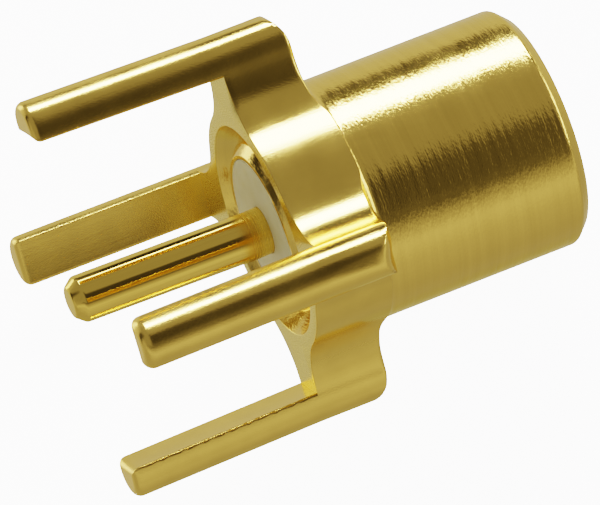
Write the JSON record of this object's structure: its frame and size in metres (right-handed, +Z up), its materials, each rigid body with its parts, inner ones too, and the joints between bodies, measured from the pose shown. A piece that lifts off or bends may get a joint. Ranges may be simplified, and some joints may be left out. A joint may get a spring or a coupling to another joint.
{
  "type": "coaxial connector jack",
  "caption": "Straight gold-plated coaxial jack for a circuit board: round barrel with a snap-in bore, lobed flange with solder legs, white insulator and centre solder pin, lying on its side.",
  "frame": {"origin": "on the coaxial axis at the flange's back face, which is the board seat", "axes": "the part lies on its side as it comes to rest on a table: +X runs towards the mouth along the part, +Z is up, and the coaxial axis dips towards the mouth by the rest tilt of 7.47 degrees about Y"},
  "size_m": [0.0103, 0.006, 0.0066],
  "materials": {
    "gold_body": "gold plate over turned brass, satin with fine turning lines",
    "white_ptfe": "turned white fluoropolymer, matt",
    "gold_contact": "gold plate over polished copper alloy"
  },
  "bodies": {
    "root": {"body": "gold_body", "insulator": "white_ptfe", "contact": "gold_contact"}
  },
  "joints": []
}
